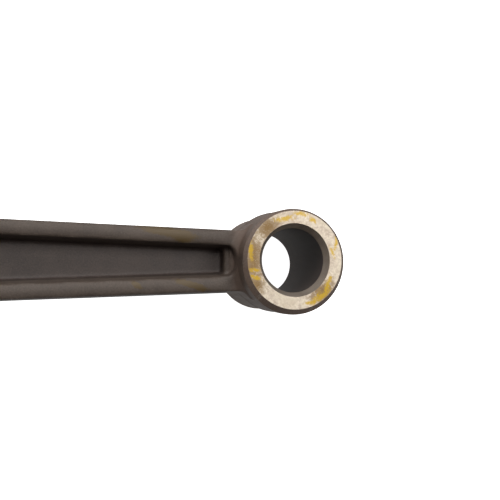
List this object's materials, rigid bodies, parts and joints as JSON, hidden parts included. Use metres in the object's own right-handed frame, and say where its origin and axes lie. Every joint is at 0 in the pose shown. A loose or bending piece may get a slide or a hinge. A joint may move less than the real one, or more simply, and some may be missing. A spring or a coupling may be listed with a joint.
{
  "type": "connecting rod",
  "caption": "Forged I-section connecting rod with a long bare piston pin bore, and a caged roller big end on a press-in crankpin with thrust washers.",
  "frame": {"origin": "centre of the piston pin bore, halfway between the small end's faces", "axes": "+Z along both bores, +X from the big end to the small end along the shank, so the big end lies at -X"},
  "size_m": [0.1843, 0.0552, 0.0626],
  "materials": {
    "forged_steel": "dark brown-grey phosphate over a grained forging skin, with machined rings at the end faces and ground bores",
    "ground_steel": "ground and hardened, lightly oiled",
    "roller_steel": "lapped bearing steel",
    "cage_steel": "satin machined cage",
    "washer_bronze": "turned bronze",
    "plug_brass": "turned brass"
  },
  "bodies": {
    "rod": {"connecting_rod": "forged_steel"},
    "crankpin": {"crankpin": "ground_steel", "crankpin_plug": "plug_brass"},
    "cage": {"roller_cage": "cage_steel"},
    "roller_01": {"roller_01": "roller_steel"},
    "roller_02": {"roller_02": "roller_steel"},
    "roller_03": {"roller_03": "roller_steel"},
    "roller_04": {"roller_04": "roller_steel"},
    "roller_05": {"roller_05": "roller_steel"},
    "roller_06": {"roller_06": "roller_steel"},
    "roller_07": {"roller_07": "roller_steel"},
    "roller_08": {"roller_08": "roller_steel"},
    "roller_09": {"roller_09": "roller_steel"},
    "roller_10": {"roller_10": "roller_steel"},
    "roller_11": {"roller_11": "roller_steel"},
    "roller_12": {"roller_12": "roller_steel"},
    "roller_13": {"roller_13": "roller_steel"},
    "roller_14": {"roller_14": "roller_steel"},
    "washer_upper": {"thrust_washer_upper": "washer_bronze"},
    "washer_lower": {"thrust_washer_lower": "washer_bronze"}
  },
  "joints": [
    {"name": "crankpin_spin", "type": "hinge", "parent": "rod", "child": "crankpin", "pos_m": [-0.14, 0, 0], "axis": [0, 0, 1], "continuous": true},
    {"name": "cage_spin", "type": "hinge", "parent": "rod", "child": "cage", "pos_m": [-0.14, 0, 0], "axis": [0, 0, 1], "continuous": true},
    {"name": "roller_01_spin", "type": "hinge", "parent": "cage", "child": "roller_01", "pos_m": [-0.123, 0, 0], "axis": [0, 0, 1], "continuous": true},
    {"name": "roller_02_spin", "type": "hinge", "parent": "cage", "child": "roller_02", "pos_m": [-0.12468, 0.00738, 0], "axis": [0, 0, 1], "continuous": true},
    {"name": "roller_03_spin", "type": "hinge", "parent": "cage", "child": "roller_03", "pos_m": [-0.1294, 0.01329, 0], "axis": [0, 0, 1], "continuous": true},
    {"name": "roller_04_spin", "type": "hinge", "parent": "cage", "child": "roller_04", "pos_m": [-0.13622, 0.01657, 0], "axis": [0, 0, 1], "continuous": true},
    {"name": "roller_05_spin", "type": "hinge", "parent": "cage", "child": "roller_05", "pos_m": [-0.14378, 0.01657, 0], "axis": [0, 0, 1], "continuous": true},
    {"name": "roller_06_spin", "type": "hinge", "parent": "cage", "child": "roller_06", "pos_m": [-0.1506, 0.01329, 0], "axis": [0, 0, 1], "continuous": true},
    {"name": "roller_07_spin", "type": "hinge", "parent": "cage", "child": "roller_07", "pos_m": [-0.15532, 0.00738, 0], "axis": [0, 0, 1], "continuous": true},
    {"name": "roller_08_spin", "type": "hinge", "parent": "cage", "child": "roller_08", "pos_m": [-0.157, 0, 0], "axis": [0, 0, 1], "continuous": true},
    {"name": "roller_09_spin", "type": "hinge", "parent": "cage", "child": "roller_09", "pos_m": [-0.15532, -0.00738, 0], "axis": [0, 0, 1], "continuous": true},
    {"name": "roller_10_spin", "type": "hinge", "parent": "cage", "child": "roller_10", "pos_m": [-0.1506, -0.01329, 0], "axis": [0, 0, 1], "continuous": true},
    {"name": "roller_11_spin", "type": "hinge", "parent": "cage", "child": "roller_11", "pos_m": [-0.14378, -0.01657, 0], "axis": [0, 0, 1], "continuous": true},
    {"name": "roller_12_spin", "type": "hinge", "parent": "cage", "child": "roller_12", "pos_m": [-0.13622, -0.01657, 0], "axis": [0, 0, 1], "continuous": true},
    {"name": "roller_13_spin", "type": "hinge", "parent": "cage", "child": "roller_13", "pos_m": [-0.1294, -0.01329, 0], "axis": [0, 0, 1], "continuous": true},
    {"name": "roller_14_spin", "type": "hinge", "parent": "cage", "child": "roller_14", "pos_m": [-0.12468, -0.00738, 0], "axis": [0, 0, 1], "continuous": true},
    {"name": "washer_upper_spin", "type": "hinge", "parent": "rod", "child": "washer_upper", "pos_m": [-0.14, 0, 0], "axis": [0, 0, 1], "continuous": true},
    {"name": "washer_lower_spin", "type": "hinge", "parent": "rod", "child": "washer_lower", "pos_m": [-0.14, 0, 0], "axis": [0, 0, 1], "continuous": true}
  ],
  "couplings": [
    {"joint": "cage_spin", "follows": "crankpin_spin", "ratio": 0.41176},
    {"joint": "roller_01_spin", "follows": "crankpin_spin", "ratio": -2.7451},
    {"joint": "roller_02_spin", "follows": "crankpin_spin", "ratio": -2.7451},
    {"joint": "roller_03_spin", "follows": "crankpin_spin", "ratio": -2.7451},
    {"joint": "roller_04_spin", "follows": "crankpin_spin", "ratio": -2.7451},
    {"joint": "roller_05_spin", "follows": "crankpin_spin", "ratio": -2.7451},
    {"joint": "roller_06_spin", "follows": "crankpin_spin", "ratio": -2.7451},
    {"joint": "roller_07_spin", "follows": "crankpin_spin", "ratio": -2.7451},
    {"joint": "roller_08_spin", "follows": "crankpin_spin", "ratio": -2.7451},
    {"joint": "roller_09_spin", "follows": "crankpin_spin", "ratio": -2.7451},
    {"joint": "roller_10_spin", "follows": "crankpin_spin", "ratio": -2.7451},
    {"joint": "roller_11_spin", "follows": "crankpin_spin", "ratio": -2.7451},
    {"joint": "roller_12_spin", "follows": "crankpin_spin", "ratio": -2.7451},
    {"joint": "roller_13_spin", "follows": "crankpin_spin", "ratio": -2.7451},
    {"joint": "roller_14_spin", "follows": "crankpin_spin", "ratio": -2.7451}
  ]
}
